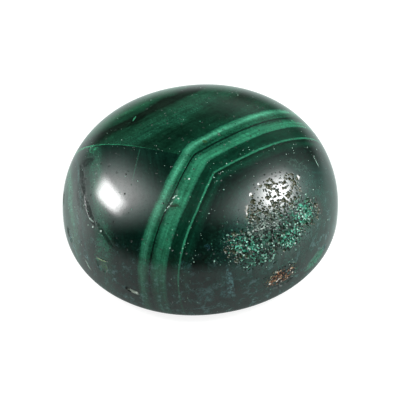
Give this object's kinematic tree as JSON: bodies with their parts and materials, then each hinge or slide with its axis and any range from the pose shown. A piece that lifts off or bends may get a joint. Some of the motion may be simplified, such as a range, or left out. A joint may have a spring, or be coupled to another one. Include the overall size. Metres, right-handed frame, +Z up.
{
  "type": "malachite cabochon gemstone",
  "caption": "Oval cabochon of banded green malachite: a high polished dome over a low rim with a small bevel, on a flat base to rest on or to set in a bezel.",
  "frame": {"origin": "centre of the flat base, on the surface the stone stands on", "axes": "+X along the oval's length, +Y across it, +Z up through the top of the dome"},
  "size_m": [0.02, 0.0186, 0.0082],
  "materials": {
    "polished_malachite": "high polish over dark and bright green bands, matt in the open pits and on the sawn base"
  },
  "bodies": {
    "root": {"cabochon": "polished_malachite"}
  },
  "joints": []
}
